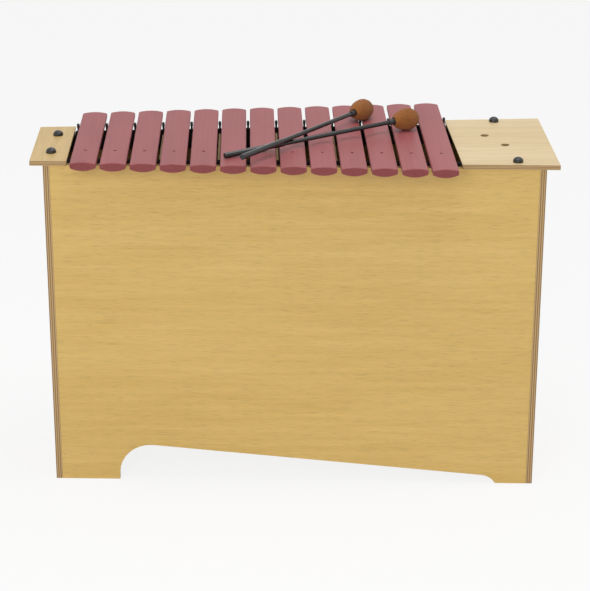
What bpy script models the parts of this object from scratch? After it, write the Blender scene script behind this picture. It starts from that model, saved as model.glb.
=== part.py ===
"""A free-standing bass xylophone: thirteen tuned bars over a tapered plywood resonator box.

+X runs to the long bass bars, +Y to the player's side and +Z up. The origin lies on the floor, under
the middle of the instrument. All sizes are in metres.
"""

import math

import bmesh
import bpy
from mathutils import Matrix, Vector

# Touching pieces and running fits
GAP = 0.0003
PIN_CLEARANCE = 0.001
SHANK_CLEARANCE = 0.0002

# The row of bars
BAR_COUNT = 13
BAR_WIDTH = 0.048
BAR_GAP = 0.0074
BAR_THICKNESS = 0.0175
BAR_CROWN = 0.003
BAR_BELLY = 0.0055
BAR_EDGE = 0.0012
SHORT_BAR = 0.336
LONG_BAR = 0.444
NODE_SHARE = 0.224
ARCH_TO_NODE = 0.030
SHALLOW_ARCH = 0.0035
DEEP_ARCH = 0.0065

# The box
BODY_HEIGHT = 0.650
WALL = 0.012
FLOOR_PLY = 0.006
FLOOR_RISE = 0.008
PARTITION_PLY = 0.004
PARTITION_DROP = 0.002
PARTITION_AFTER_BARS = (3, 5, 7, 9, 11)
BATTEN = 0.018

# The cut-out under the front and back walls
TREBLE_FOOT = 0.1265
BASS_FOOT = 0.068
CUT_AT_TREBLE = 0.0805
CUT_AT_BASS = 0.0145
TREBLE_CUT_RADIUS = 0.062
BASS_CUT_RADIUS = 0.035

# The rails, their felt strips, pins and posts
RAIL_WIDTH = 0.012
RAIL_DEPTH = 0.030
FELT_WIDTH = 0.010
FELT_RISE = 0.006
FELT_END_GAP = 0.0015
PIN_RADIUS = 0.002
PIN_BELOW_BAR_TOP = 0.002
PIN_IN_RAIL = 0.012
POST_SHANK = 0.0017
POST_NECK = 0.0021
POST_CAP = 0.0027
POST_IN_RAIL = 0.018
POST_CAP_LENGTH = 0.008
POST_BELOW_BAR_TOP = 0.0018

# The two shelves
TREBLE_SHELF = 0.069
BASS_SHELF = 0.1845
SHELF_PLY = 0.009
SHELF_OVER_END = 0.024
SHELF_LIP = 0.006
SHELF_UNDERCUT = 0.004
TREBLE_SHELF_GAP = 0.0106
BASS_SHELF_GAP = 0.0111
BASS_SHELF_SKEW = 0.006
MALLET_HOLE_RADIUS = 0.008
MALLET_HOLES_FROM_END = ((0.120, 0.040), (0.0875, -0.0235))
BUMPER_RADIUS = 0.00975
BUMPER_HEIGHT = 0.0095
BUMPER_RIM = 0.002
TREBLE_BUMPER_INSETS = ((0.0395, 0.0584), (0.0360, 0.0557))
BASS_BUMPER_INSETS = ((0.0910, 0.0159), (0.0765, 0.0205))

# The pair of mallets
MALLET_REACH = 0.3974
SHAFT_RADIUS = 0.0042
GRIP_RADIUS = 0.0053
GRIP_LENGTH = 0.125
GRIP_CAP = 0.003
HEAD_RADIUS = 0.021
HEAD_TO_NECK = 0.034
HEAD_TO_TIP = 0.0244
NECK_AT = 0.031
CORE_RADIUS = 0.014
COLLAR_RADIUS = 0.0056
COLLAR_LENGTH = 0.011
SHAFT_IN_CORE = 0.004
LOWER_HEAD_BAR = 11
LOWER_HEAD_PAST_BAR = 0.0034
LOWER_HEAD_Y = 0.0361
LOWER_TURN = math.radians(27.54)
UPPER_HEAD_BAR = 10
UPPER_HEAD_PAST_BAR = -0.0238
UPPER_HEAD_Y = 0.1112
UPPER_TURN = math.radians(53.45)

# Roundness of the solids
CROWN_STEPS = 6
ARCH_STEPS = 10
CORNER_STEPS = 8
PIN_SIDES = 10
TURNED_SIDES = 16
HEAD_STEPS = 6

# Looks: red, green, blue and roughness
BIRCH = (0.64, 0.42, 0.15, 0.40)
PALE_BIRCH = (0.73, 0.58, 0.33, 0.45)
INNER_PLY = (0.60, 0.44, 0.22, 0.60)
BAR_ROSE = (0.38, 0.12, 0.13, 0.45)
BLACK_PAINT = (0.012, 0.011, 0.011, 0.50)
BLACK_RUBBER = (0.015, 0.014, 0.014, 0.40)
FELT = (0.010, 0.010, 0.010, 0.95)
GLOSS_BLACK = (0.012, 0.010, 0.010, 0.25)
YARN = (0.52, 0.22, 0.06, 0.95)

# Spans and heights that follow from the sizes above
BAR_PITCH = BAR_WIDTH + BAR_GAP
BAR_ROW = (BAR_COUNT - 1) * BAR_PITCH + BAR_WIDTH
TOTAL_WIDTH = TREBLE_SHELF + TREBLE_SHELF_GAP + BAR_ROW + BASS_SHELF_GAP + BASS_SHELF
BAR_ROW_CENTRE = -TOTAL_WIDTH / 2 + TREBLE_SHELF + TREBLE_SHELF_GAP + BAR_ROW / 2
BODY_WIDTH = TOTAL_WIDTH - 2 * SHELF_OVER_END
BED = BODY_HEIGHT + FELT_RISE
BAR_BOTTOM = BED + GAP
BAR_TOP = BAR_BOTTOM + BAR_THICKNESS
INNER_END = BODY_WIDTH / 2 - WALL - GAP
WALL_IN = RAIL_WIDTH / 2 + GAP
WALL_OUT = WALL_IN + WALL
SHELF_LOW = BODY_HEIGHT + GAP
SHELF_TOP = SHELF_LOW + SHELF_PLY
TAPER = (0.5 - NODE_SHARE) * (LONG_BAR - SHORT_BAR) / ((BAR_COUNT - 1) * BAR_PITCH)
SLANT = math.hypot(1, TAPER)
FRONT, BACK = -1, 1

for old in list(bpy.data.objects):
    bpy.data.objects.remove(old)
PARTS = bpy.data.collections.new("bass_xylophone")
CUTTERS = bpy.data.collections.new("cutters")
bpy.context.scene.collection.children.link(PARTS)
bpy.context.scene.collection.children.link(CUTTERS)


# Where things lie across the instrument

def bar_x(index):
    """The middle of a bar, counted from 0 at the treble end."""
    return BAR_ROW_CENTRE + (index - (BAR_COUNT - 1) / 2) * BAR_PITCH


def gap_x(index):
    """The middle of the gap before a bar; 0 and BAR_COUNT are the outer sides of the row."""
    return bar_x(index) - BAR_PITCH / 2


def bar_length(x):
    """Bars grow evenly from the treble to the bass end."""
    share = (x - bar_x(0)) / (bar_x(BAR_COUNT - 1) - bar_x(0))
    return SHORT_BAR + share * (LONG_BAR - SHORT_BAR)


def side_line(x, outwards=0.0):
    """The distance from the centre line to the line that carries the bars, or one alongside it."""
    return (0.5 - NODE_SHARE) * bar_length(x) + outwards * SLANT


def cut_line(x):
    """The height of the sloping edge of the cut-out."""
    start = -BODY_WIDTH / 2 + TREBLE_FOOT
    share = (x - start) / (BODY_WIDTH - TREBLE_FOOT - BASS_FOOT)
    return CUT_AT_TREBLE + share * (CUT_AT_BASS - CUT_AT_TREBLE)


def floor_top(x):
    """The upper side of the sloping resonator floor."""
    return cut_line(x) + FLOOR_RISE + FLOOR_PLY


def crown_drop(offset):
    """How far a bar's crowned top lies below its middle, at a distance to the side."""
    radius = (BAR_WIDTH ** 2 / 4 + BAR_CROWN ** 2) / (2 * BAR_CROWN)
    return radius - math.sqrt(radius ** 2 - offset ** 2)


# Makers of meshes and objects

def weld(mesh):
    """Join the loose caps, merge faces in one plane and turn every face outwards."""
    work = bmesh.new()
    work.from_mesh(mesh)
    bmesh.ops.remove_doubles(work, verts=work.verts, dist=0.000001)
    bmesh.ops.dissolve_limit(work, angle_limit=math.radians(0.5), verts=work.verts, edges=work.edges)
    bmesh.ops.recalc_face_normals(work, faces=work.faces)
    work.to_mesh(mesh)
    work.free()
    return mesh


def flat_mesh(name, outline, thickness):
    """A flat outline in XY, thickened evenly above and below."""
    curve = bpy.data.curves.new(name, "CURVE")
    curve.dimensions = "2D"
    curve.fill_mode = "BOTH"
    curve.extrude = thickness / 2
    spline = curve.splines.new("POLY")
    spline.points.add(len(outline) - 1)
    for point, (x, y) in zip(spline.points, outline):
        point.co = (x, y, 0, 1)
    spline.use_cyclic_u = True
    drawn = bpy.data.objects.new(name + "_outline", curve)
    bpy.context.scene.collection.objects.link(drawn)
    depsgraph = bpy.context.evaluated_depsgraph_get()
    mesh = bpy.data.meshes.new_from_object(drawn.evaluated_get(depsgraph))
    bpy.data.objects.remove(drawn)
    mesh.name = name
    return weld(mesh)


def upright_mesh(name, outline, thickness):
    """An outline in XZ, thickened along Y."""
    mesh = flat_mesh(name, outline, thickness)
    mesh.transform(Matrix.Rotation(math.pi / 2, 4, "X"))
    return mesh


def crosswise_mesh(name, outline, thickness):
    """An outline in YZ, thickened along X."""
    mesh = flat_mesh(name, outline, thickness)
    mesh.transform(Matrix(((0, 0, 1, 0), (1, 0, 0, 0), (0, 1, 0, 0), (0, 0, 0, 1))))
    return mesh


def cylinders_mesh(name, places, radius, low, high, sides=PIN_SIDES):
    """Upright cylinders at the given places, all from one height to another."""
    work = bmesh.new()
    for x, y in places:
        middle = Matrix.Translation((x, y, (low + high) / 2))
        bmesh.ops.create_cone(work, cap_ends=True, segments=sides, radius1=radius, radius2=radius,
                              depth=high - low, matrix=middle)
    mesh = bpy.data.meshes.new(name)
    work.to_mesh(mesh)
    work.free()
    return mesh


def turned_mesh(name, profile, sides=TURNED_SIDES):
    """A profile of (radius, height), from the top down its outer side, turned round Z."""
    mesh = bpy.data.meshes.new(name)
    points = [(radius, 0, height) for radius, height in profile]
    mesh.from_pydata(points, [(i, i + 1) for i in range(len(points) - 1)], [])
    blank = bpy.data.objects.new(name + "_profile", mesh)
    bpy.context.scene.collection.objects.link(blank)
    screw = blank.modifiers.new("turn", "SCREW")
    screw.axis = "Z"
    screw.steps = sides
    screw.render_steps = sides
    screw.use_merge_vertices = True
    screw.merge_threshold = 0.00001
    depsgraph = bpy.context.evaluated_depsgraph_get()
    turned = bpy.data.meshes.new_from_object(blank.evaluated_get(depsgraph))
    bpy.data.objects.remove(blank)
    turned.name = name
    work = bmesh.new()
    work.from_mesh(turned)
    bmesh.ops.recalc_face_normals(work, faces=work.faces)
    work.to_mesh(turned)
    work.free()
    turned.shade_smooth()
    turned.set_sharp_from_angle(angle=math.radians(40))
    return turned


def finish(name, look):
    """A material of one colour, used again under the same name."""
    made = bpy.data.materials.get(name)
    if made:
        return made
    made = bpy.data.materials.new(name)
    made.use_nodes = True
    shader = made.node_tree.nodes["Principled BSDF"]
    shader.inputs["Base Color"].default_value = (*look[:3], 1)
    shader.inputs["Roughness"].default_value = look[3]
    shader.inputs["Metallic"].default_value = 0.0
    return made


def add(name, mesh, look, at=(0, 0, 0), parent=None):
    """One named sub-part with its own material."""
    made = bpy.data.objects.new(name, mesh)
    PARTS.objects.link(made)
    made.location = at
    made.parent = parent
    made.data.materials.clear()
    made.data.materials.append(finish(mesh.name, look))
    return made


def add_cutter(name, mesh, at=(0, 0, 0)):
    """A shape that only cuts or joins others."""
    made = bpy.data.objects.new(name, mesh)
    CUTTERS.objects.link(made)
    made.location = at
    made.hide_render = True
    made.display_type = "WIRE"
    return made


def combine(piece, other, operation="DIFFERENCE"):
    """Cut another shape out of a piece, or join it to the piece."""
    modifier = piece.modifiers.new(operation.lower(), "BOOLEAN")
    modifier.operation = operation
    modifier.solver = "EXACT"
    modifier.object = other


def add_empty(name, at, turn):
    """A frame that a group of pieces hangs on."""
    made = bpy.data.objects.new(name, None)
    PARTS.objects.link(made)
    made.rotation_mode = "QUATERNION"
    made.location = at
    made.rotation_quaternion = turn
    return made


def strip(start, end, low, high, side):
    """The plan of a board along one side of the box, between two distances from its bar line."""
    return [
        (start, side * side_line(start, low)),
        (end, side * side_line(end, low)),
        (end, side * side_line(end, high)),
        (start, side * side_line(start, high)),
    ]


def full_plan(start, end, outwards, far_start_shift=0.0):
    """The plan of a board across the whole box, reaching the same distance past both bar lines."""
    return [
        (start, -side_line(start, outwards)),
        (end, -side_line(end, outwards)),
        (end, side_line(end, outwards)),
        (start + far_start_shift, side_line(start + far_start_shift, outwards)),
    ]


# The box

def cut_out_outline():
    """The opening under the long walls: a big round at the treble foot, a slope, a small round."""
    slope = (CUT_AT_BASS - CUT_AT_TREBLE) / (BODY_WIDTH - TREBLE_FOOT - BASS_FOOT)
    tangent = math.pi / 2 + math.atan(slope)
    lift = math.hypot(1, slope)
    treble_edge = -BODY_WIDTH / 2 + TREBLE_FOOT
    bass_edge = BODY_WIDTH / 2 - BASS_FOOT

    def arc(centre_x, radius, first, last):
        centre_z = cut_line(centre_x) - radius * lift
        turns = [first + (last - first) * i / CORNER_STEPS for i in range(CORNER_STEPS + 1)]
        return [(centre_x + radius * math.cos(a), centre_z + radius * math.sin(a)) for a in turns]

    bass_centre = bass_edge - BASS_CUT_RADIUS
    below_floor = BASS_CUT_RADIUS * lift - cut_line(bass_centre)
    last = math.asin(max(-1.0, min(1.0, below_floor / BASS_CUT_RADIUS)))
    points = [(treble_edge, -WALL)]
    points += arc(treble_edge + TREBLE_CUT_RADIUS, TREBLE_CUT_RADIUS, math.pi, tangent)
    points += arc(bass_centre, BASS_CUT_RADIUS, tangent, max(last, 0.0))
    points.append((points[-1][0], -WALL))
    return points


def make_walls():
    reach = 2 * side_line(BODY_WIDTH / 2, WALL_OUT) + WALL
    opening = add_cutter("wall_cut_out", upright_mesh("wall_cut_out", cut_out_outline(), reach))
    for name, side in (("front_panel", FRONT), ("back_panel", BACK)):
        plan = strip(-INNER_END, INNER_END, WALL_IN, WALL_OUT, side)
        wall = add(name, flat_mesh(name, plan, BODY_HEIGHT), BIRCH, (0, 0, BODY_HEIGHT / 2))
        combine(wall, opening)
    for name, start in (("treble_end_panel", -BODY_WIDTH / 2), ("bass_end_panel", BODY_WIDTH / 2 - WALL)):
        plan = full_plan(start, start + WALL, WALL_OUT)
        add(name, flat_mesh(name, plan, BODY_HEIGHT), BIRCH, (0, 0, BODY_HEIGHT / 2))


def make_floor():
    plan = full_plan(-INNER_END, INNER_END, WALL_IN - GAP)
    mesh = flat_mesh("resonator_floor", plan, FLOOR_PLY)
    slope = (cut_line(INNER_END) - cut_line(-INNER_END)) / (2 * INNER_END)
    mesh.transform(Matrix(((1, 0, 0, 0), (0, 1, 0, 0), (slope, 0, 1, 0), (0, 0, 0, 1))))
    add("resonator_floor", mesh, INNER_PLY, (0, 0, floor_top(0) - FLOOR_PLY / 2))


def make_partitions():
    for number, bars in enumerate(PARTITION_AFTER_BARS, 1):
        x = gap_x(bars)
        treble_face = x - PARTITION_PLY / 2
        half = side_line(treble_face, WALL_IN - GAP)
        between_rails = side_line(treble_face, -RAIL_WIDTH / 2 - GAP)
        low = floor_top(treble_face) + GAP
        shoulder = BODY_HEIGHT - RAIL_DEPTH - GAP
        high = BODY_HEIGHT - PARTITION_DROP
        outline = [
            (-half, low), (half, low), (half, shoulder), (between_rails, shoulder),
            (between_rails, high), (-between_rails, high), (-between_rails, shoulder), (-half, shoulder),
        ]
        name = f"partition_{number}"
        add(name, crosswise_mesh(name, outline, PARTITION_PLY), INNER_PLY, (x, 0, 0))


def make_battens():
    high = BODY_HEIGHT - RAIL_DEPTH - GAP
    for end_name, side_end in (("treble", -1), ("bass", 1)):
        start = min(side_end * INNER_END, side_end * (INNER_END - BATTEN))
        low = floor_top(start) + GAP
        for side_name, side in (("front", FRONT), ("back", BACK)):
            name = f"{end_name}_{side_name}_batten"
            plan = strip(start, start + BATTEN, WALL_IN - GAP - BATTEN, WALL_IN - GAP, side)
            add(name, flat_mesh(name, plan, high - low), INNER_PLY, (0, 0, (low + high) / 2))


# What carries the bars

def pin_places():
    return [(bar_x(i), -side_line(bar_x(i))) for i in range(BAR_COUNT)]


def post_places():
    return [(gap_x(i), side_line(gap_x(i))) for i in range(BAR_COUNT + 1)]


def make_rails():
    pins = cylinders_mesh("front_pins", pin_places(), PIN_RADIUS, BODY_HEIGHT - PIN_IN_RAIL,
                          BAR_TOP - PIN_BELOW_BAR_TOP)
    holes = cylinders_mesh("back_post_holes", post_places(), POST_SHANK + SHANK_CLEARANCE,
                           BODY_HEIGHT - POST_IN_RAIL - GAP, BODY_HEIGHT + RAIL_WIDTH)
    rails = (
        ("front_rail", FRONT, add_cutter("front_pins", pins), "UNION"),
        ("back_rail", BACK, add_cutter("back_post_holes", holes), "DIFFERENCE"),
    )
    for name, side, other, operation in rails:
        plan = strip(-INNER_END, INNER_END, -RAIL_WIDTH / 2, RAIL_WIDTH / 2, side)
        at = (0, 0, BODY_HEIGHT - RAIL_DEPTH / 2)
        rail = add(name, flat_mesh(name, plan, RAIL_DEPTH), BLACK_PAINT, at)
        combine(rail, other, operation)


def make_felt_strips():
    start = treble_shelf_edge() + FELT_END_GAP
    low = BODY_HEIGHT + GAP
    strips = (
        ("front_felt_strip", FRONT, pin_places(), PIN_RADIUS + GAP),
        ("back_felt_strip", BACK, post_places(), POST_SHANK + GAP),
    )
    for name, side, places, radius in strips:
        end = bass_shelf_edge(side) - FELT_END_GAP
        plan = strip(start, end, -FELT_WIDTH / 2, FELT_WIDTH / 2, side)
        felt = add(name, flat_mesh(name, plan, BED - low), FELT, (0, 0, (low + BED) / 2))
        holes = cylinders_mesh(name + "_holes", places, radius, low - RAIL_WIDTH, BED + RAIL_WIDTH)
        combine(felt, add_cutter(name + "_holes", holes))


def make_posts():
    top = BAR_TOP - POST_BELOW_BAR_TOP
    cap_low = top - POST_CAP_LENGTH
    round_off = POST_CAP / 2
    profile = [
        (0, top), (POST_CAP - round_off, top), (POST_CAP, top - round_off), (POST_CAP, cap_low),
        (POST_NECK, cap_low - round_off), (POST_NECK, BED + GAP), (POST_SHANK, BED + GAP),
        (POST_SHANK, BODY_HEIGHT - POST_IN_RAIL), (0, BODY_HEIGHT - POST_IN_RAIL),
    ]
    mesh = turned_mesh("back_post", profile, PIN_SIDES)
    for number, (x, y) in enumerate(post_places(), 1):
        add(f"back_post_{number:02d}", mesh, BLACK_RUBBER, (x, y, 0))


# The bars

def bar_outline():
    """Crowned top, upright sides and a more crowned belly, with the belly's lowest line at zero."""
    half = BAR_WIDTH / 2
    belly_radius = (half ** 2 + BAR_BELLY ** 2) / (2 * BAR_BELLY)
    across = [-half + BAR_WIDTH * i / CROWN_STEPS for i in range(CROWN_STEPS + 1)]
    belly = [(x, belly_radius - math.sqrt(belly_radius ** 2 - x ** 2)) for x in across]
    crown = [(x, BAR_THICKNESS - crown_drop(x)) for x in reversed(across)]
    return belly + crown


def tuning_arch(length, depth):
    """The hollow under the middle of a bar, which tunes it."""
    half = length / 2 - NODE_SHARE * length - ARCH_TO_NODE
    points = [(-half - BAR_WIDTH, -BAR_WIDTH), (-half, -GAP)]
    for i in range(ARCH_STEPS + 1):
        y = -half + 2 * half * i / ARCH_STEPS
        points.append((y, depth * (1 - (y / half) ** 2)))
    points += [(half, -GAP), (half + BAR_WIDTH, -BAR_WIDTH)]
    return points


def make_bars():
    for index in range(BAR_COUNT):
        name = f"bar_{index + 1:02d}"
        x = bar_x(index)
        length = bar_length(x)
        at = (x, 0, BAR_BOTTOM)
        bar = add(name, upright_mesh(name, bar_outline(), length), BAR_ROSE, at)
        edges = bar.modifiers.new("rounded_edges", "BEVEL")
        edges.width = BAR_EDGE
        edges.segments = 1
        edges.limit_method = "ANGLE"
        edges.angle_limit = math.radians(60)
        depth = SHALLOW_ARCH + (DEEP_ARCH - SHALLOW_ARCH) * index / (BAR_COUNT - 1)
        arch = crosswise_mesh(name + "_arch", tuning_arch(length, depth), 2 * BAR_WIDTH)
        combine(bar, add_cutter(name + "_arch", arch, at))
        hole = cylinders_mesh(name + "_hole", [(0, -side_line(x))], PIN_RADIUS + PIN_CLEARANCE,
                              -BAR_THICKNESS, 2 * BAR_THICKNESS)
        combine(bar, add_cutter(name + "_hole", hole, at))


# The shelves

def treble_shelf_edge():
    return bar_x(0) - BAR_WIDTH / 2 - TREBLE_SHELF_GAP


def bass_shelf_edge(side=0):
    """The shelf's inner edge at its middle, or at its front or back corner."""
    return bar_x(BAR_COUNT - 1) + BAR_WIDTH / 2 + BASS_SHELF_GAP - side * BASS_SHELF_SKEW / 2


def undercut(name, edge, inwards, skew=0.0):
    """A wedge that takes off the lower inner corner of a shelf."""
    extra = SHELF_PLY
    outline = [
        (edge + inwards * extra, SHELF_LOW - extra),
        (edge + inwards * extra, SHELF_LOW + SHELF_UNDERCUT + extra),
        (edge - inwards * (SHELF_UNDERCUT + extra), SHELF_LOW - extra),
    ]
    mesh = upright_mesh(name, outline, BODY_WIDTH)
    mesh.transform(Matrix(((1, skew, 0, 0), (0, 1, 0, 0), (0, 0, 1, 0), (0, 0, 0, 1))))
    return add_cutter(name, mesh)


def make_shelves():
    end = BODY_WIDTH / 2 + SHELF_OVER_END
    reach = WALL_OUT + SHELF_LIP
    middle = (0, 0, (SHELF_LOW + SHELF_TOP) / 2)
    treble_plan = full_plan(-end, treble_shelf_edge(), reach)
    treble = add("treble_shelf", flat_mesh("treble_shelf", treble_plan, SHELF_PLY), PALE_BIRCH, middle)
    combine(treble, undercut("treble_shelf_undercut", treble_shelf_edge(), 1))

    near_edge = bass_shelf_edge(FRONT)
    far_edge = bass_shelf_edge(BACK)
    bass_plan = full_plan(near_edge, end, reach, far_edge - near_edge)
    bass = add("bass_shelf", flat_mesh("bass_shelf", bass_plan, SHELF_PLY), PALE_BIRCH, middle)
    skew = -BASS_SHELF_SKEW / (2 * side_line(bass_shelf_edge(), reach))
    combine(bass, undercut("bass_shelf_undercut", bass_shelf_edge(), -1, skew))
    places = [(end - from_end, y) for from_end, y in MALLET_HOLES_FROM_END]
    holes = cylinders_mesh("mallet_holes", places, MALLET_HOLE_RADIUS, SHELF_LOW - SHELF_PLY,
                           SHELF_TOP + SHELF_PLY, TURNED_SIDES)
    combine(bass, add_cutter("mallet_holes", holes))


def make_bumpers():
    dome_rise = BUMPER_HEIGHT - BUMPER_RIM
    profile = [(0, BUMPER_HEIGHT)]
    for i in range(1, HEAD_STEPS):
        turn = math.pi / 2 * i / (HEAD_STEPS - 1)
        profile.append((BUMPER_RADIUS * math.sin(turn), BUMPER_RIM + dome_rise * math.cos(turn)))
    profile += [(BUMPER_RADIUS, 0), (0, 0)]
    mesh = turned_mesh("bumper", profile)
    ends = (("treble", -1, TREBLE_BUMPER_INSETS), ("bass", 1, BASS_BUMPER_INSETS))
    for end_name, side_end, insets in ends:
        for side_name, side, (from_end, from_lip) in zip(("back", "front"), (BACK, FRONT), insets):
            x = side_end * (BODY_WIDTH / 2 + SHELF_OVER_END - from_end)
            y = side * (side_line(x, WALL_OUT + SHELF_LIP) - from_lip)
            add(f"{end_name}_{side_name}_bumper", mesh, BLACK_RUBBER, (x, y, SHELF_TOP + GAP))


# The mallets

def shaft_mesh():
    start = GRIP_CAP + GAP
    end = MALLET_REACH - SHAFT_IN_CORE - GAP
    profile = [(0, end), (SHAFT_RADIUS, end), (SHAFT_RADIUS, start), (0, start)]
    return turned_mesh("mallet_shaft", profile)


def grip_mesh():
    bore = SHAFT_RADIUS + GAP
    soft = (GRIP_RADIUS - bore) / 2
    profile = [
        (bore, GRIP_LENGTH), (GRIP_RADIUS - soft, GRIP_LENGTH), (GRIP_RADIUS, GRIP_LENGTH - 2 * soft),
        (GRIP_RADIUS, 2 * soft), (GRIP_RADIUS - 2 * soft, 0), (0, 0),
    ]
    return turned_mesh("mallet_grip", [(0, GRIP_CAP), (bore, GRIP_CAP)] + profile)


def half_circle(centre, radius, start_radius):
    """Points on a ball from its tip to where it meets a neck of the given radius."""
    last = math.pi - math.asin(start_radius / radius)
    turns = [last * i / HEAD_STEPS for i in range(HEAD_STEPS + 1)]
    return [(radius * math.sin(a), centre + radius * math.cos(a)) for a in turns]


def core_mesh():
    """A rubber ball that grips the shaft, with a collar that shows below the yarn."""
    bore = SHAFT_RADIUS + GAP
    mouth = MALLET_REACH - NECK_AT - COLLAR_LENGTH
    profile = half_circle(MALLET_REACH, CORE_RADIUS, COLLAR_RADIUS)
    profile += [(COLLAR_RADIUS, mouth), (bore, mouth)]
    profile += [(bore, MALLET_REACH - SHAFT_IN_CORE), (0, MALLET_REACH - SHAFT_IN_CORE)]
    return turned_mesh("mallet_core", profile)


def yarn_mesh():
    """A wound head, rounder at its tip than at its neck, with room for the core inside."""
    outer = []
    for i in range(HEAD_STEPS + 1):
        turn = math.pi / 2 * i / HEAD_STEPS
        outer.append((HEAD_RADIUS * math.sin(turn), MALLET_REACH + HEAD_TO_TIP * math.cos(turn)))
    last = math.asin(NECK_AT / HEAD_TO_NECK)
    for i in range(1, HEAD_STEPS + 1):
        turn = last * i / HEAD_STEPS
        outer.append((HEAD_RADIUS * math.cos(turn), MALLET_REACH - HEAD_TO_NECK * math.sin(turn)))
    neck = COLLAR_RADIUS + GAP
    inner = half_circle(MALLET_REACH, CORE_RADIUS + GAP, neck)
    return turned_mesh("mallet_yarn", outer + [(neck, outer[-1][1])] + inner[::-1])


def ball_rest(x):
    """The lowest height of a mallet head's middle above the bars, at a place along the row."""
    lowest = 0.0
    for index in range(BAR_COUNT):
        for i in range(CROWN_STEPS * 8 + 1):
            offset = -BAR_WIDTH / 2 + BAR_WIDTH * i / (CROWN_STEPS * 8)
            aside = bar_x(index) + offset - x
            if abs(aside) < HEAD_RADIUS:
                surface = BAR_TOP - crown_drop(offset)
                lowest = max(lowest, surface + math.sqrt(HEAD_RADIUS ** 2 - aside ** 2))
    return lowest + GAP


def butt_rest(head, turn, head_height):
    """The height of the butt's middle when the grip just clears the bar tops under it."""
    lowest = BAR_TOP
    steps = 60
    for i in range(steps):
        along = GRIP_LENGTH * i / steps
        x = head[0] - (MALLET_REACH - along) * math.cos(turn)
        for index in range(BAR_COUNT):
            offset = x - bar_x(index)
            if abs(offset) <= BAR_WIDTH / 2:
                needed = BAR_TOP - crown_drop(offset) + GRIP_RADIUS + GAP
                butt = head_height + (needed - head_height) * MALLET_REACH / (MALLET_REACH - along)
                lowest = max(lowest, butt)
    return lowest


def crossing(first_head, first_turn, second_head, second_turn):
    """How far from each head two mallets cross in plan."""
    first = Vector((math.cos(first_turn), math.sin(first_turn)))
    second = Vector((math.cos(second_turn), math.sin(second_turn)))
    apart = Vector(second_head) - Vector(first_head)
    width = first.x * second.y - first.y * second.x
    to_first = (apart.x * second.y - apart.y * second.x) / width
    to_second = (apart.x * first.y - apart.y * first.x) / width
    return -to_first, -to_second


def radius_near(along):
    """How thick a mallet's handle is, close to a distance from its butt."""
    return GRIP_RADIUS if along < GRIP_LENGTH + 3 * GRIP_RADIUS else SHAFT_RADIUS


def add_mallet(name, head, turn, head_height, butt_height):
    """Shaft, grip, core and yarn on one empty that stands at the butt and points to the head."""
    rise = head_height - butt_height
    level = math.sqrt(MALLET_REACH ** 2 - rise ** 2)
    along = Vector((level * math.cos(turn), level * math.sin(turn), rise))
    butt = Vector((head[0], head[1], head_height)) - along
    axis = add_empty(name + "_axis", butt, along.to_track_quat("Z", "Y"))
    add(name + "_shaft", shaft_mesh(), GLOSS_BLACK, parent=axis)
    add(name + "_grip", grip_mesh(), BLACK_RUBBER, parent=axis)
    add(name + "_core", core_mesh(), BLACK_RUBBER, parent=axis)
    add(name + "_yarn", yarn_mesh(), YARN, parent=axis)


def make_mallets():
    lower_head = (bar_x(LOWER_HEAD_BAR) + LOWER_HEAD_PAST_BAR, LOWER_HEAD_Y)
    upper_head = (bar_x(UPPER_HEAD_BAR) + UPPER_HEAD_PAST_BAR, UPPER_HEAD_Y)
    lower_top = ball_rest(lower_head[0])
    upper_top = ball_rest(upper_head[0])
    lower_butt = butt_rest(lower_head, LOWER_TURN, lower_top)
    lower_part, upper_part = crossing(lower_head, LOWER_TURN, upper_head, UPPER_TURN)
    lower_axis = lower_top + (lower_butt - lower_top) * lower_part / MALLET_REACH
    thickness = radius_near(MALLET_REACH - lower_part) + radius_near(MALLET_REACH - upper_part)
    needed = lower_axis + thickness + 2 * GAP
    upper_butt = upper_top + (needed - upper_top) * MALLET_REACH / upper_part
    add_mallet("lower_mallet", lower_head, LOWER_TURN, lower_top, lower_butt)
    add_mallet("upper_mallet", upper_head, UPPER_TURN, upper_top, upper_butt)


make_walls()
make_floor()
make_partitions()
make_battens()
make_rails()
make_felt_strips()
make_posts()
make_bars()
make_shelves()
make_bumpers()
make_mallets()
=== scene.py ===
# %% [markdown]
# # A bass xylophone, finished in Blender
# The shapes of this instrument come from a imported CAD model, where every board, bar and mallet
# is its own solid in metres. This lesson gives each of them the surface of the real thing:
# honey birch plywood with its layered edges, rose bars with faint lengthwise streaks, rubber,
# felt and wound wool.

# %% Load the frame
import math

import bmesh
import bpy
import numpy as np
from mathutils import Matrix, Vector


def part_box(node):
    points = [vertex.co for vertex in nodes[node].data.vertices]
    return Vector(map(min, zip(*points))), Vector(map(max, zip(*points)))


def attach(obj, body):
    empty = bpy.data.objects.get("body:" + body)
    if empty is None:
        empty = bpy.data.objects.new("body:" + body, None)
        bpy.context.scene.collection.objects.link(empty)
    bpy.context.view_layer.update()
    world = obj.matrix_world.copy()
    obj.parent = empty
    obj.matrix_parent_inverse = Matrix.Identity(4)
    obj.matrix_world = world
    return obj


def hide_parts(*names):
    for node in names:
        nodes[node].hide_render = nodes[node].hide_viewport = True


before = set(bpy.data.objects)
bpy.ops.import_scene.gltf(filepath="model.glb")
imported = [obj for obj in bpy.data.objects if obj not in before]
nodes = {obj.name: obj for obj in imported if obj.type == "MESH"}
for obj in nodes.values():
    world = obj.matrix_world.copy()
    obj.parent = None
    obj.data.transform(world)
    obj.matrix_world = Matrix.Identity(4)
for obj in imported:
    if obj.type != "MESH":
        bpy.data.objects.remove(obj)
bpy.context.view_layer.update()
scene = bpy.context.scene
scene.view_settings.view_transform = "Standard"
print("CAD nodes:", len(nodes))

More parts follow.
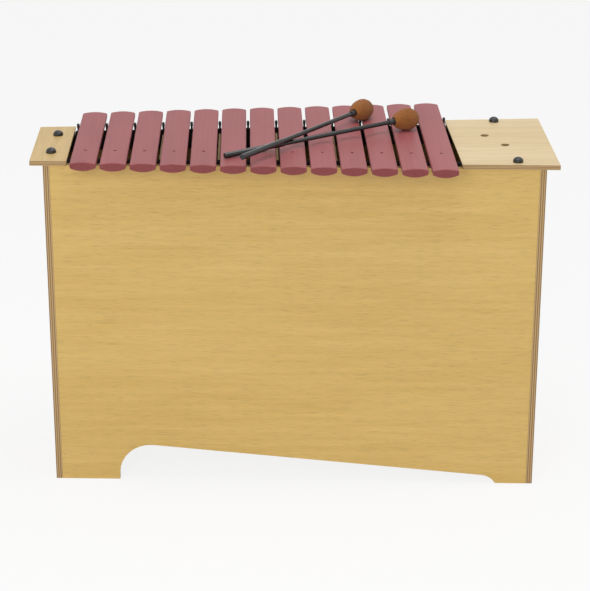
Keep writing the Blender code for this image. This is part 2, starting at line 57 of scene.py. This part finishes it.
# %% [markdown]
# ## The camera
# The photo was taken from the audience's side, a little above the bars. A long lens keeps the
# upright edges nearly parallel. The place, the tilt and the lens below were solved from
# corners of the box, the bars and the shelves, so the render can be laid over the photo.

# %% Camera
CAMERA_AT = (-0.082, -3.690, 1.773)
CAMERA_PITCH = math.radians(21.17)
CAMERA_YAW = math.radians(1.35)
CAMERA_ROLL = math.radians(0.12)
FOCAL_PIXELS = 2000.0
PHOTO_SIDE = 591
SENSOR = 36.0

camera_data = bpy.data.cameras.new("photo_camera")
camera_data.sensor_width = SENSOR
camera_data.lens = FOCAL_PIXELS / PHOTO_SIDE * SENSOR
camera = bpy.data.objects.new("photo_camera", camera_data)
scene.collection.objects.link(camera)
turn = (Matrix.Rotation(-CAMERA_YAW, 4, "Z") @ Matrix.Rotation(math.pi / 2 - CAMERA_PITCH, 4, "X")
        @ Matrix.Rotation(CAMERA_ROLL, 4, "Z"))
camera.matrix_world = Matrix.Translation(CAMERA_AT) @ turn
scene.camera = camera
print("lens:", round(camera_data.lens, 1), "mm")

# %% [markdown]
# ## Node helpers
# A finish in Blender is a small graph. One helper adds a node, sets its values and joins its
# sockets, so that the finishes further down read like short recipes.

# %% Helpers for node graphs
def put(tree, kind, inputs=None, **settings):
    """Adds a node; an input's value may be a number, a colour or another node's socket."""
    made = tree.nodes.new(kind)
    for name, value in settings.items():
        setattr(made, name, value)
    for socket, value in (inputs or {}).items():
        if isinstance(value, bpy.types.NodeSocket):
            tree.links.new(value, made.inputs[socket])
        else:
            made.inputs[socket].default_value = value
    return made


def maths(tree, operation, first, second=0.0):
    """One step of arithmetic on numbers or sockets."""
    return put(tree, "ShaderNodeMath", {0: first, 1: second}, operation=operation).outputs[0]


def between(tree, factor, low, high):
    """A colour between two others; each is a colour or a socket."""
    return put(tree, "ShaderNodeMix", {0: factor, 6: low, 7: high}, data_type="RGBA").outputs[2]


def ramp(tree, factor, stops):
    """A smooth scale of grey values from (place, value) pairs."""
    made = put(tree, "ShaderNodeValToRGB", {0: factor})
    while len(made.color_ramp.elements) < len(stops):
        made.color_ramp.elements.new(0.5)
    for element, (place, value) in zip(made.color_ramp.elements, stops):
        element.position = place
        element.color = (value, value, value, 1)
    return made.outputs["Color"]


def noise(tree, scales, detail=4.0, rough=0.55, distortion=0.0):
    """Noise stretched by its three scales, in metres of the object's own space."""
    place = put(tree, "ShaderNodeTexCoord").outputs["Object"]
    scaled = put(tree, "ShaderNodeMapping", {"Vector": place, "Scale": scales}).outputs[0]
    made = put(tree, "ShaderNodeTexNoise", {"Vector": scaled, "Scale": 1.0, "Detail": detail,
                                            "Roughness": rough, "Distortion": distortion})
    return made.outputs[0]


def bump(tree, height, distance, strength=1.0):
    """A normal that rises and falls by a distance in metres."""
    return put(tree, "ShaderNodeBump", {"Strength": strength, "Distance": distance,
                                        "Height": height}).outputs[0]


def finish(name, roughness, specular=0.5):
    """A new material; returns it with its tree and its Principled shader."""
    material = bpy.data.materials.new(name)
    material.use_nodes = True
    shader = material.node_tree.nodes["Principled BSDF"]
    shader.inputs["Roughness"].default_value = roughness
    shader.inputs["Specular IOR Level"].default_value = specular
    return material, material.node_tree, shader


def wear(material, *names):
    """Gives CAD nodes a finish."""
    for name in names:
        slots = nodes[name].data.materials
        slots.clear()
        slots.append(material)


def ending_in(ending):
    return sorted(name for name in nodes if name.endswith(ending))


def starting_with(beginning):
    return sorted(name for name in nodes if name.startswith(beginning))


print("helpers ready")

# %% [markdown]
# ## Birch plywood
# The box is thin birch plywood. Its faces show fine grain along the board, and its cut edges
# show the glued layers as thin lines. One graph does both: the direction through the board
# tells faces from edges, and the depth in the board places the layers. A satin varnish makes
# the box honey-coloured and a little glossy. The two shelves are paler, the bass one most of
# all, so each board gets its own colours from the same function.

# %% Plywood
HONEY_DARK = (0.665, 0.435, 0.122, 1)
HONEY_LIGHT = (0.750, 0.510, 0.165, 1)
PALE_DARK = (0.610, 0.450, 0.220, 1)
PALE_LIGHT = (0.740, 0.590, 0.345, 1)
TAN_DARK = (0.540, 0.360, 0.130, 1)
TAN_LIGHT = (0.660, 0.470, 0.200, 1)
LAYER_LIGHT = (0.560, 0.380, 0.170, 1)
LAYER_DARK = (0.270, 0.145, 0.055, 1)
WALL = 0.012
SHELF_PLY = 0.009
PLIES = 6
FACE_FROM = 0.85
# Repeats per metre along and across the grain
FIGURE_GRAIN = (2.2, 95.0)
PORE_GRAIN = (18.0, 800.0)
BROAD_GRAIN = (1.1, 7.0)


def grain_scales(grain, repeats):
    """The three scales of a noise that runs along one axis."""
    along, across = repeats
    return [along if axis == grain else across for axis in "XYZ"]


def plywood(name, through, start, thickness, grain, dark, light):
    """Plywood whose layers are stacked along `through`, with the grain along the axis `grain`."""
    material, tree, shader = finish(name, 0.42)
    coarse = noise(tree, grain_scales(grain, FIGURE_GRAIN), 5.0, 0.6, 0.25)
    fine = noise(tree, grain_scales(grain, PORE_GRAIN), 3.0, 0.6)
    broad = noise(tree, grain_scales(grain, BROAD_GRAIN), 2.0, 0.5)
    figure = maths(tree, "ADD", maths(tree, "MULTIPLY", coarse, 0.62),
                   maths(tree, "MULTIPLY", broad, 0.38))
    face = between(tree, ramp(tree, figure, [(0.36, 0.0), (0.64, 1.0)]), dark, light)
    pores = ramp(tree, fine, [(0.30, 0.80), (0.48, 1.0)])
    face = put(tree, "ShaderNodeMix", {0: 1.0, 6: face, 7: pores}, data_type="RGBA",
               blend_type="MULTIPLY").outputs[2]
    place = put(tree, "ShaderNodeTexCoord").outputs["Object"]
    depth = put(tree, "ShaderNodeVectorMath", {0: place, 1: through}, operation="DOT_PRODUCT")
    share = maths(tree, "MULTIPLY", maths(tree, "SUBTRACT", depth.outputs["Value"], start),
                  1.0 / thickness)
    wave = maths(tree, "SINE", maths(tree, "MULTIPLY", share, math.pi * PLIES))
    grainy = noise(tree, (420.0, 420.0, 420.0), 3.0, 0.6)
    lines = maths(tree, "ADD", wave, maths(tree, "MULTIPLY", grainy, 0.6))
    edge = between(tree, ramp(tree, lines, [(0.10, 0.0), (0.55, 1.0)]), LAYER_DARK, LAYER_LIGHT)
    normal = put(tree, "ShaderNodeNewGeometry").outputs["True Normal"]
    facing = put(tree, "ShaderNodeVectorMath", {0: normal, 1: through}, operation="DOT_PRODUCT")
    flat = maths(tree, "GREATER_THAN", maths(tree, "ABSOLUTE", facing.outputs["Value"]), FACE_FROM)
    tree.links.new(between(tree, flat, edge, face), shader.inputs["Base Color"])
    tree.links.new(bump(tree, fine, 0.00006, 0.5), shader.inputs["Normal"])
    rough = put(tree, "ShaderNodeMapRange", {0: coarse, 3: 0.36, 4: 0.52}).outputs[0]
    tree.links.new(rough, shader.inputs["Roughness"])
    return material


def wall_line(x):
    """How far the outer face of the front wall lies from the middle, measured on its solid."""
    spots = np.array([v.co for v in nodes["front_panel"].data.vertices])
    near = spots[np.abs(spots[:, 0] - x) < 0.001]
    return float((-near[:, 1]).max())


wall_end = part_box("front_panel")[1].x
wall_slope = (wall_line(wall_end) - wall_line(-wall_end)) / (2 * wall_end)
wall_middle = wall_line(-wall_end) + wall_slope * wall_end
for node_name, side in (("front_panel", -1), ("back_panel", 1)):
    through = Vector((-wall_slope, side, 0)).normalized()
    outer = wall_middle / math.hypot(1, wall_slope)
    wear(plywood(node_name + "_birch", through, outer - WALL, WALL, "X", HONEY_DARK, HONEY_LIGHT),
         node_name)
for node_name, side in (("treble_end_panel", -1), ("bass_end_panel", 1)):
    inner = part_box(node_name)[1 if side < 0 else 0].x * side
    wear(plywood(node_name + "_birch", (side, 0, 0), inner, WALL, "Z", HONEY_DARK, HONEY_LIGHT),
         node_name)
shelf_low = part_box("treble_shelf")[0].z
wear(plywood("bass_shelf_birch", (0, 0, 1), shelf_low, SHELF_PLY, "X", PALE_DARK, PALE_LIGHT),
     "bass_shelf")
wear(plywood("treble_shelf_birch", (0, 0, 1), shelf_low, SHELF_PLY, "Y", TAN_DARK, TAN_LIGHT),
     "treble_shelf")
print("plywood finishes:", len(bpy.data.materials))

# %% [markdown]
# The parts inside the box are bare wood, seen only from below or through the gaps between the
# bars: the thin partitions, the sloping floor and the glue battens.

# %% Bare inner wood
BARE_DARK = (0.430, 0.290, 0.130, 1)
BARE_LIGHT = (0.600, 0.440, 0.230, 1)
bare, tree, shader = finish("bare_inner_wood", 0.65)
streaks = noise(tree, (4.0, 4.0, 120.0), 4.0, 0.6, 0.3)
tree.links.new(between(tree, ramp(tree, streaks, [(0.35, 0.0), (0.65, 1.0)]), BARE_DARK, BARE_LIGHT),
               shader.inputs["Base Color"])
tree.links.new(bump(tree, streaks, 0.0001, 0.6), shader.inputs["Normal"])
inner_names = starting_with("partition_") + ending_in("_batten")
wear(bare, "resonator_floor", *inner_names)
print("inner pieces:", len(inner_names) + 1)

# %% [markdown]
# ## The rose bars
# The bars are cut from a dense, dusty rose plastic with glass fibre. Their tops are satin with
# faint streaks along the length. The sawn ends are duller, and their darker colour is painted shade,
# because the end faces turn away from the light. The streaks are noise that is stretched along the
# bar, and a slow change along the row keeps two neighbours from looking the same.

# %% Bars
ROSE_DARK = (0.270, 0.066, 0.068, 1)
ROSE_LIGHT = (0.350, 0.100, 0.106, 1)
# The end colours are painted shade: the end faces turn away from the light.
ROSE_SHADED_END_DARK = (0.190, 0.038, 0.038, 1)
ROSE_SHADED_END_LIGHT = (0.290, 0.070, 0.070, 1)
rose, tree, shader = finish("rose_bar", 0.45, 0.3)
streaks = noise(tree, (520.0, 3.5, 180.0), 4.0, 0.6)
cloud = noise(tree, (19.0, 5.0, 8.0), 2.0, 0.5)
figure = maths(tree, "ADD", maths(tree, "MULTIPLY", streaks, 0.6), maths(tree, "MULTIPLY", cloud, 0.4))
top = between(tree, ramp(tree, figure, [(0.34, 0.0), (0.66, 1.0)]), ROSE_DARK, ROSE_LIGHT)
end_specks = noise(tree, (300.0, 300.0, 900.0), 3.0, 0.6)
shaded_end_colour = between(tree, ramp(tree, end_specks, [(0.3, 0.0), (0.7, 1.0)]), ROSE_SHADED_END_DARK, ROSE_SHADED_END_LIGHT)
normal = put(tree, "ShaderNodeNewGeometry").outputs["True Normal"]
lengthwise = put(tree, "ShaderNodeSeparateXYZ", {0: normal}).outputs["Y"]
# Mask of the end faces, which get the darker painted shade.
shaded_end_mask = maths(tree, "GREATER_THAN", maths(tree, "ABSOLUTE", lengthwise), 0.75)
tree.links.new(between(tree, shaded_end_mask, top, shaded_end_colour), shader.inputs["Base Color"])
tree.links.new(bump(tree, streaks, 0.00004, 0.5), shader.inputs["Normal"])
gloss = put(tree, "ShaderNodeMapRange", {0: figure, 3: 0.40, 4: 0.55}).outputs[0]
tree.links.new(gloss, shader.inputs["Roughness"])
bars = starting_with("bar_")
wear(rose, *bars)
print("bars:", len(bars))

# %% [markdown]
# ## Black pieces
# Several blacks lie side by side on the real instrument, and only their surface tells them
# apart: thin paint on the rails, dense felt on top of them, rubber on the posts, the bumpers
# and the grips, and a hard glossy rod for the mallet shafts.

# %% Paint, felt and rubber
def black(name, dark, light, roughness, scale, depth, specular=0.5):
    """A near-black surface whose fine noise shows in its colour and its bump."""
    material, tree, shader = finish(name, roughness, specular)
    specks = noise(tree, (scale, scale, scale), 4.0, 0.6)
    tone = between(tree, ramp(tree, specks, [(0.3, 0.0), (0.7, 1.0)]), (*dark, 1), (*light, 1))
    tree.links.new(tone, shader.inputs["Base Color"])
    tree.links.new(bump(tree, specks, depth, 0.6), shader.inputs["Normal"])
    return material


wear(black("black_paint", (0.008, 0.007, 0.007), (0.020, 0.018, 0.018), 0.5, 150.0, 0.00008),
     "front_rail", "back_rail")
wear(black("black_felt", (0.004, 0.004, 0.004), (0.022, 0.021, 0.020), 0.95, 1400.0, 0.0003, 0.15),
     "front_felt_strip", "back_felt_strip")
wear(black("post_rubber", (0.010, 0.009, 0.009), (0.022, 0.020, 0.020), 0.5, 700.0, 0.00004),
     *starting_with("back_post_"))
wear(black("bumper_rubber", (0.010, 0.009, 0.009), (0.018, 0.017, 0.017), 0.30, 250.0, 0.00003),
     *ending_in("_bumper"))
wear(black("rod_gloss", (0.008, 0.007, 0.007), (0.016, 0.014, 0.014), 0.22, 220.0, 0.00002),
     *ending_in("_mallet_shaft"))
wear(black("grip_rubber", (0.008, 0.008, 0.008), (0.016, 0.015, 0.015), 0.18, 160.0, 0.00002),
     *ending_in("_mallet_grip"))
wear(black("collar_rubber", (0.020, 0.020, 0.020), (0.040, 0.039, 0.038), 0.50, 500.0, 0.00004),
     *ending_in("_mallet_core"))
print("black finishes ready")

# %% [markdown]
# ## Wound mallet heads
# A mallet head is a rubber core with wool wound round it in dozens of loops. Each loop passes
# the neck on one side of the shaft and the tip on the other, and the next one is turned a
# little further, so the strands cross as on a ball of yarn. The rule is simple, so Geometry
# Nodes makes the path: every point of one long line is placed by its own number, and a small
# circle is swept along it. The place along the strand and round it is kept as an attribute,
# because the twist of the yarn follows the strand and not the space.

# %% The winding as a node tree
MALLET_REACH = 0.3974
SHAFT_START = 0.0033
HEAD_RADIUS = 0.021
HEAD_TO_TIP = 0.0244
HEAD_TO_NECK = 0.034
STRAND_RADIUS = 0.00075
LOOPS = 76
POINTS_PER_LOOP = 34
LOOP_TURN = math.radians(19.3)
TILT_AT_NECK = math.radians(25.0)
TILT_AT_TIP = math.radians(24.0)
STRAND_SCATTER = 0.0005
STRAND_SIDES = 6


def winding_tree():
    """One long strand wound round a pear-shaped head whose middle is the origin."""
    tree = bpy.data.node_groups.new("wound_head", "GeometryNodeTree")
    tree.interface.new_socket("Geometry", in_out="OUTPUT", socket_type="NodeSocketGeometry")
    for name, kind in (("Loops", "Int"), ("Points per loop", "Int"), ("Strand radius", "Float"),
                       ("Side radius", "Float"), ("Tip length", "Float"), ("Neck length", "Float"),
                       ("Turn per loop", "Float"), ("Tilt at neck", "Float"),
                       ("Tilt at tip", "Float"), ("Seed", "Int"), ("Material", "Material")):
        tree.interface.new_socket(name, in_out="INPUT", socket_type="NodeSocket" + kind)
    given = tree.nodes.new("NodeGroupInput").outputs
    count = maths(tree, "MULTIPLY", given["Loops"], given["Points per loop"])
    line = put(tree, "GeometryNodeCurvePrimitiveLine").outputs[0]
    line = put(tree, "GeometryNodeResampleCurve", {"Curve": line, "Count": count}).outputs[0]
    index = put(tree, "GeometryNodeInputIndex").outputs[0]
    loop = maths(tree, "DIVIDE", index, given["Points per loop"])
    angle = maths(tree, "MULTIPLY", loop, 2 * math.pi)
    heading = maths(tree, "MULTIPLY", loop, given["Turn per loop"])
    which = maths(tree, "FLOOR", maths(tree, "ADD", loop, 0.5))
    chance = put(tree, "FunctionNodeRandomValue", {"ID": which, "Seed": given["Seed"]},
                 data_type="FLOAT").outputs[1]
    towards_tip = maths(tree, "MULTIPLY", maths(tree, "ADD", maths(tree, "COSINE", angle), 1.0), 0.5)
    towards_neck = maths(tree, "SUBTRACT", 1.0, towards_tip)
    tip_tilt = maths(tree, "MULTIPLY", given["Tilt at tip"], chance)
    tilt = maths(tree, "ADD", maths(tree, "MULTIPLY", tip_tilt, towards_tip),
                 maths(tree, "MULTIPLY", given["Tilt at neck"], towards_neck))
    sideways = maths(tree, "SINE", angle)
    upwards = maths(tree, "COSINE", angle)
    lean = maths(tree, "MULTIPLY", upwards, maths(tree, "SINE", tilt))
    height = maths(tree, "MULTIPLY", upwards, maths(tree, "COSINE", tilt))
    sine = maths(tree, "SINE", heading)
    cosine = maths(tree, "COSINE", heading)
    x = maths(tree, "SUBTRACT", maths(tree, "MULTIPLY", sideways, cosine),
              maths(tree, "MULTIPLY", lean, sine))
    y = maths(tree, "ADD", maths(tree, "MULTIPLY", sideways, sine),
              maths(tree, "MULTIPLY", lean, cosine))
    above = maths(tree, "GREATER_THAN", height, 0.0)
    long_side = maths(tree, "ADD", maths(tree, "MULTIPLY", above, given["Tip length"]),
                      maths(tree, "MULTIPLY", maths(tree, "SUBTRACT", 1.0, above),
                            given["Neck length"]))
    depth = maths(tree, "ADD", given["Strand radius"],
                  maths(tree, "MULTIPLY", chance, STRAND_SCATTER))
    side = maths(tree, "SUBTRACT", given["Side radius"], depth)
    place = put(tree, "ShaderNodeCombineXYZ", {
        "X": maths(tree, "MULTIPLY", x, side), "Y": maths(tree, "MULTIPLY", y, side),
        "Z": maths(tree, "MULTIPLY", height, maths(tree, "SUBTRACT", long_side, depth))}).outputs[0]
    line = put(tree, "GeometryNodeSetPosition", {"Geometry": line, "Position": place}).outputs[0]
    length = put(tree, "GeometryNodeSplineParameter").outputs["Length"]
    kept_length = put(tree, "GeometryNodeCaptureAttribute", {"Geometry": line})
    kept_length.capture_items.new("FLOAT", "Length")
    tree.links.new(length, kept_length.inputs[1])
    circle = put(tree, "GeometryNodeCurvePrimitiveCircle",
                 {"Resolution": STRAND_SIDES, "Radius": given["Strand radius"]}, mode="RADIUS").outputs[0]
    kept_side = put(tree, "GeometryNodeCaptureAttribute", {"Geometry": circle})
    kept_side.capture_items.new("VECTOR", "Side")
    tree.links.new(put(tree, "GeometryNodeInputPosition").outputs[0], kept_side.inputs[1])
    swept = put(tree, "GeometryNodeCurveToMesh", {
        "Curve": kept_length.outputs[0], "Profile Curve": kept_side.outputs[0],
        "Fill Caps": True}).outputs[0]
    round_part = put(tree, "ShaderNodeSeparateXYZ", {0: kept_side.outputs[1]}).outputs
    strand = put(tree, "ShaderNodeCombineXYZ", {
        "X": kept_length.outputs[1],
        "Y": maths(tree, "DIVIDE", round_part["X"], given["Strand radius"]),
        "Z": maths(tree, "DIVIDE", round_part["Y"], given["Strand radius"])}).outputs[0]
    stored = put(tree, "GeometryNodeStoreNamedAttribute", {"Geometry": swept, "Name": "strand",
                                                           "Value": strand}, data_type="FLOAT_VECTOR")
    smooth = put(tree, "GeometryNodeSetShadeSmooth", {"Geometry": stored.outputs[0]}).outputs[0]
    real = put(tree, "GeometryNodeRealizeInstances", {"Geometry": smooth}).outputs[0]
    painted = put(tree, "GeometryNodeSetMaterial", {"Geometry": real, "Material": given["Material"]})
    out = tree.nodes.new("NodeGroupOutput")
    tree.links.new(painted.outputs[0], out.inputs[0])
    return tree


WINDING = winding_tree()
print("winding nodes:", len(WINDING.nodes))

# %% [markdown]
# The wool is orange-tan. Its colour varies a little along the strand, two plies twist round each other,
# the grooves between them get painted shade, and a soft sheen stands for the loose fibres at the surface.

# %% Wool
WOOL_DARK = (0.130, 0.040, 0.007, 1)
WOOL_LIGHT = (0.440, 0.170, 0.040, 1)
TWISTS_PER_METRE = 330.0
wool, tree, shader = finish("orange_wool", 0.90, 0.2)
strand = put(tree, "ShaderNodeAttribute", attribute_name="strand").outputs["Vector"]
parts = put(tree, "ShaderNodeSeparateXYZ", {0: strand}).outputs
spin = maths(tree, "MULTIPLY", parts[0], 2 * math.pi * TWISTS_PER_METRE)
# Painted shade: the grooves between the two plies are coloured darker. The same value also drives the
# bump.
ply_groove_relief_and_shade = maths(tree, "ADD", maths(tree, "MULTIPLY", maths(tree, "SINE", spin), parts[1]),
              maths(tree, "MULTIPLY", maths(tree, "COSINE", spin), parts[2]))
ply_groove_relief_and_shade = maths(tree, "ABSOLUTE", ply_groove_relief_and_shade)
mottle = noise(tree, (260.0, 260.0, 260.0), 4.0, 0.7)
tone = maths(tree, "ADD", maths(tree, "MULTIPLY", ply_groove_relief_and_shade, 0.4), maths(tree, "MULTIPLY", mottle, 0.6))
tree.links.new(between(tree, ramp(tree, tone, [(0.22, 0.0), (0.72, 1.0)]), WOOL_DARK, WOOL_LIGHT),
               shader.inputs["Base Color"])
tree.links.new(bump(tree, ply_groove_relief_and_shade, 0.0003, 0.8), shader.inputs["Normal"])
shader.inputs["Sheen Weight"].default_value = 0.2
shader.inputs["Sheen Roughness"].default_value = 0.5
print("wool ready")

# %% [markdown]
# Each winding is made round the point where its mallet's head is centred. The line through the
# shaft's solid gives that point and the direction. Under the strands lies the solid head from
# the CAD model, drawn in a little, so that no gap between two strands shows the core.

# %% Wind both heads
OUTSIDE_FROM = 0.016
NECK_WIDTH = 0.0075
BELOW_STRANDS = 0.0014
DRAWN_IN = 0.955


def mallet_frame(name):
    """A matrix whose Z runs along the mallet, with its origin at the middle of the head."""
    spots = np.array([v.co for v in nodes[name + "_shaft"].data.vertices])
    middle = (spots.min(0) + spots.max(0)) / 2
    direction = np.linalg.svd(spots - spots.mean(0))[2][0]
    low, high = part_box(name + "_yarn")
    if np.dot(np.array((low + high) / 2) - middle, direction) < 0:
        direction = -direction
    reach = (spots - spots.mean(0)) @ direction
    start = spots.mean(0) + direction * reach.min()
    head = Vector(start + direction * (MALLET_REACH - SHAFT_START))
    return Matrix.Translation(head) @ Vector(direction).to_track_quat("Z", "Y").to_matrix().to_4x4()


def under_winding(name, place):
    """The CAD head as a merged mesh in the mallet's own frame, drawn in below the strands."""
    work = bmesh.new()
    work.from_mesh(nodes[name + "_yarn"].data)
    bmesh.ops.remove_doubles(work, verts=work.verts, dist=0.00001)
    work.transform(place.inverted())
    for vertex in work.verts:
        wide = math.hypot(vertex.co.x, vertex.co.y)
        if vertex.co.length > OUTSIDE_FROM and wide > NECK_WIDTH:
            vertex.co.x *= (wide - BELOW_STRANDS) / wide
            vertex.co.y *= (wide - BELOW_STRANDS) / wide
        if vertex.co.length > OUTSIDE_FROM:
            vertex.co.z *= DRAWN_IN
    mesh = bpy.data.meshes.new(name + "_under_winding")
    work.to_mesh(mesh)
    work.free()
    return mesh


def wind_head(name, seed):
    """Bakes one winding to a mesh, puts it on its mallet and hides the plain CAD head."""
    place = mallet_frame(name)
    holder = bpy.data.objects.new(name + "_strands", bpy.data.meshes.new(name + "_strands"))
    scene.collection.objects.link(holder)
    modifier = holder.modifiers.new("winding", "NODES")
    modifier.node_group = WINDING
    values = {"Loops": LOOPS, "Points per loop": POINTS_PER_LOOP, "Strand radius": STRAND_RADIUS,
              "Side radius": HEAD_RADIUS, "Tip length": HEAD_TO_TIP, "Neck length": HEAD_TO_NECK,
              "Turn per loop": LOOP_TURN, "Tilt at neck": TILT_AT_NECK,
              "Tilt at tip": TILT_AT_TIP, "Seed": seed, "Material": wool}
    for item in WINDING.interface.items_tree:
        if item.in_out == "INPUT":
            modifier[item.identifier] = values[item.name]
    bpy.context.view_layer.update()
    graph = bpy.context.evaluated_depsgraph_get()
    strands = bpy.data.meshes.new_from_object(holder.evaluated_get(graph))
    bpy.data.objects.remove(holder)
    work = bmesh.new()
    work.from_mesh(strands)
    work.from_mesh(under_winding(name, place))
    work.transform(place)
    mesh = bpy.data.meshes.new(name + "_winding")
    work.to_mesh(mesh)
    work.free()
    mesh.materials.append(wool)
    mesh.shade_smooth()
    head = bpy.data.objects.new(name + "_winding", mesh)
    scene.collection.objects.link(head)
    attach(head, name)
    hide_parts(name + "_yarn")
    print(head.name, len(mesh.polygons), "faces")


wind_head("lower_mallet", 3)
wind_head("upper_mallet", 8)

# %% [markdown]
# ## Floor, light and background
# The photo shows the instrument on plain white, under soft light from above. A pale floor
# catches a soft shadow, and for the camera and for reflections it is lifted towards white, as
# is the sky. One soft lamp hangs above the instrument, a second stands on the audience's side,
# and the even light of the world fills the rest.

# %% Floor
FLOOR_SIDE = 30.0
FLOOR_BELOW = 0.0005
FLOOR_LIFT = 0.85


def seen_or_mirrored(tree):
    """One for rays from the camera, from a glossy surface or through glass, else zero."""
    path = put(tree, "ShaderNodeLightPath").outputs
    return maths(tree, "MAXIMUM", path["Is Camera Ray"],
                 maths(tree, "MAXIMUM", path["Is Glossy Ray"], path["Is Transmission Ray"]))


floor_mesh = bpy.data.meshes.new("studio_floor")
half = FLOOR_SIDE / 2
floor_mesh.from_pydata([(-half, -half, 0), (half, -half, 0), (half, half, 0), (-half, half, 0)], [],
                       [(0, 1, 2, 3)])
floor = bpy.data.objects.new("studio_floor", floor_mesh)
floor.location.z = -FLOOR_BELOW
scene.collection.objects.link(floor)
paper, tree, shader = finish("studio_paper", 0.9, 0.1)
shader.inputs["Base Color"].default_value = (0.86, 0.86, 0.86, 1)
glow = put(tree, "ShaderNodeEmission", {"Color": (1, 1, 1, 1), "Strength": 1.0}).outputs[0]
lift = maths(tree, "MULTIPLY", seen_or_mirrored(tree), FLOOR_LIFT)
mixed = put(tree, "ShaderNodeMixShader", {0: lift, 1: shader.outputs[0], 2: glow}).outputs[0]
tree.links.new(mixed, tree.nodes["Material Output"].inputs["Surface"])
floor_mesh.materials.append(paper)
print("floor:", FLOOR_SIDE, "m")

# %% Lamps and world
def lamp(name, at, target, size, power):
    """A soft rectangular lamp that points at a target."""
    data = bpy.data.lights.new(name, "AREA")
    data.shape = "RECTANGLE"
    data.size, data.size_y = size
    data.energy = power
    made = bpy.data.objects.new(name, data)
    scene.collection.objects.link(made)
    made.location = at
    made.rotation_euler = (Vector(target) - Vector(at)).to_track_quat("-Z", "Y").to_euler()


lamp("overhead_softbox", at=(0.3, -0.2, 2.6), target=(0, 0, 0.6), size=(1.6, 1.2), power=21.0)
lamp("front_softbox", at=(-0.9, -3.2, 1.9), target=(0, 0, 0.4), size=(1.8, 1.4), power=38.0)
world = bpy.data.worlds.new("studio_world")
scene.world = world
world.use_nodes = True
tree = world.node_tree
sky = tree.nodes["Background"]
sky.inputs["Color"].default_value = (1, 1, 1, 1)
sky.inputs["Strength"].default_value = 0.50
white = put(tree, "ShaderNodeBackground", {"Color": (1, 1, 1, 1), "Strength": 1.0}).outputs[0]
mixed = put(tree, "ShaderNodeMixShader", {0: seen_or_mirrored(tree), 1: sky.outputs[0],
                                          2: white}).outputs[0]
tree.links.new(mixed, tree.nodes["World Output"].inputs["Surface"])
